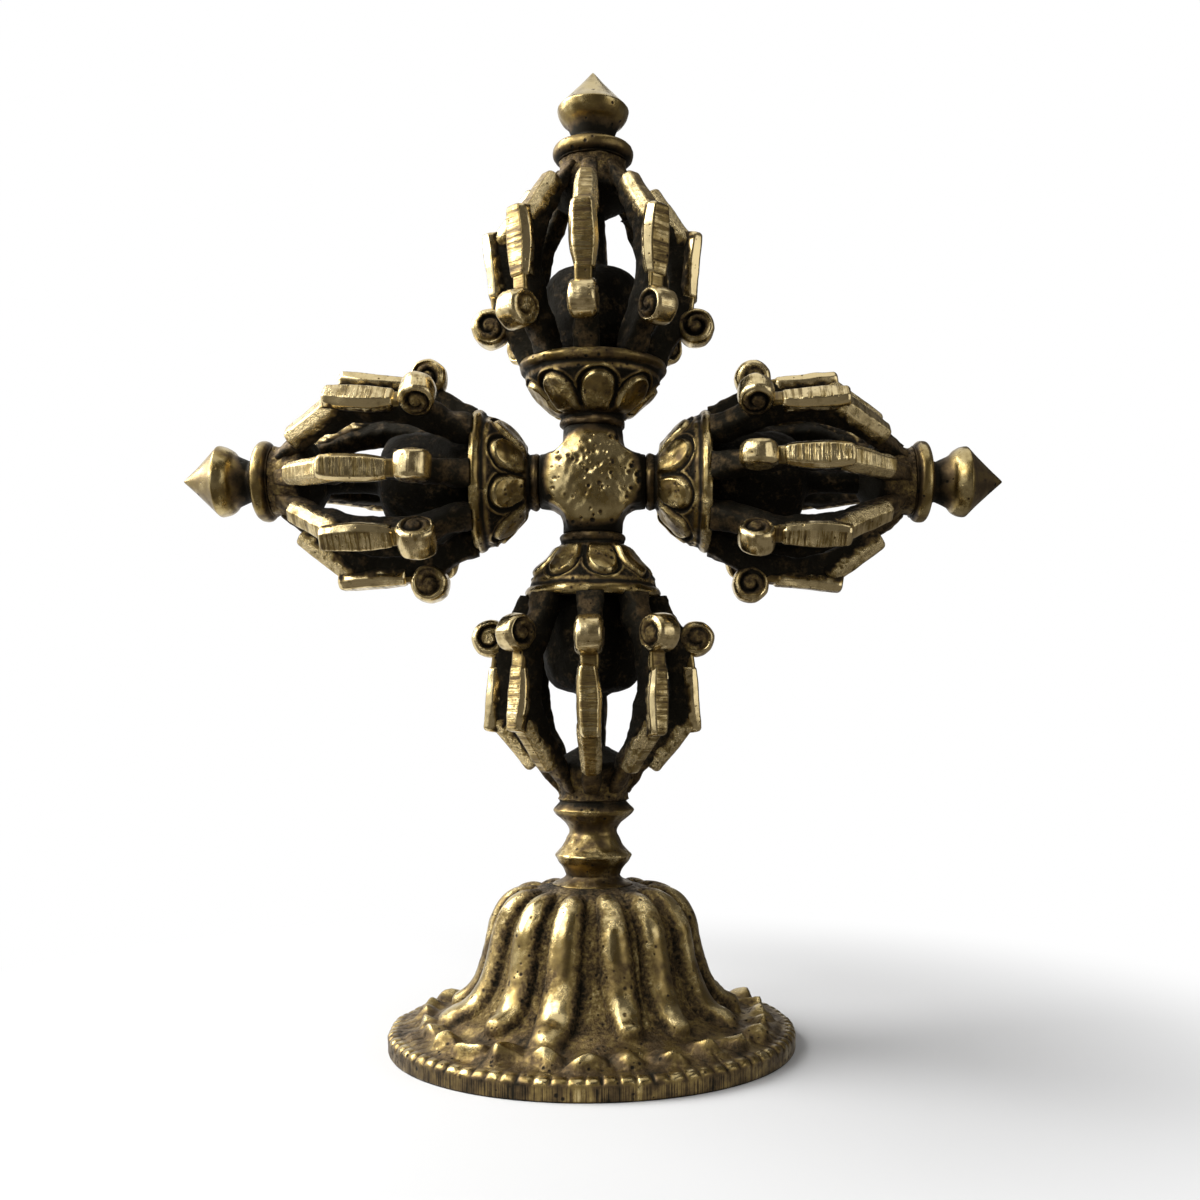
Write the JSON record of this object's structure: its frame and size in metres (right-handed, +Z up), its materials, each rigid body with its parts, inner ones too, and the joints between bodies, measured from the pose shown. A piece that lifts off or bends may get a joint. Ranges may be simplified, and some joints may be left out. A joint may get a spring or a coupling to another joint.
{
  "type": "crossed vajra stand",
  "caption": "Crossed vajra: caged arms of scrolled prongs with pointed finials round a pitted hub, on a waisted stem and a lobed lotus pedestal.",
  "frame": {"origin": "centre of the pedestal's underside, on the plane it rests on", "axes": "+Z up along the stem and the upright arms, X along the two level arms, -Y towards the viewer of the picture"},
  "size_m": [0.1016, 0.05, 0.1204],
  "materials": {
    "worn_brass": "cast, handled bright on the high places, dark in the hollows",
    "filed_brass": "hand filed and polished bars on dark webs",
    "brown_brass": "brown oxide",
    "dark_brass": "near black patina, as cast"
  },
  "bodies": {
    "root": {"hub": "worn_brass", "pedestal": "worn_brass", "stem": "brown_brass", "top_cup": "worn_brass", "right_cup": "worn_brass", "left_cup": "worn_brass", "bottom_cup": "worn_brass", "top_core": "dark_brass", "right_core": "dark_brass", "left_core": "dark_brass", "bottom_core": "dark_brass", "top_crown": "brown_brass", "right_crown": "brown_brass", "left_crown": "brown_brass", "bottom_crown": "brown_brass", "top_finial": "worn_brass", "right_finial": "worn_brass", "left_finial": "worn_brass", "top_prong_1": "filed_brass", "top_prong_2": "filed_brass", "top_prong_3": "filed_brass", "top_prong_4": "filed_brass", "top_prong_5": "filed_brass", "top_prong_6": "filed_brass", "top_prong_7": "filed_brass", "top_prong_8": "filed_brass", "right_prong_1": "filed_brass", "right_prong_2": "filed_brass", "right_prong_3": "filed_brass", "right_prong_4": "filed_brass", "right_prong_5": "filed_brass", "right_prong_6": "filed_brass", "right_prong_7": "filed_brass", "right_prong_8": "filed_brass", "left_prong_1": "filed_brass", "left_prong_2": "filed_brass", "left_prong_3": "filed_brass", "left_prong_4": "filed_brass", "left_prong_5": "filed_brass", "left_prong_6": "filed_brass", "left_prong_7": "filed_brass", "left_prong_8": "filed_brass", "bottom_prong_1": "filed_brass", "bottom_prong_2": "filed_brass", "bottom_prong_3": "filed_brass", "bottom_prong_4": "filed_brass", "bottom_prong_5": "filed_brass", "bottom_prong_6": "filed_brass", "bottom_prong_7": "filed_brass", "bottom_prong_8": "filed_brass"}
  },
  "joints": []
}
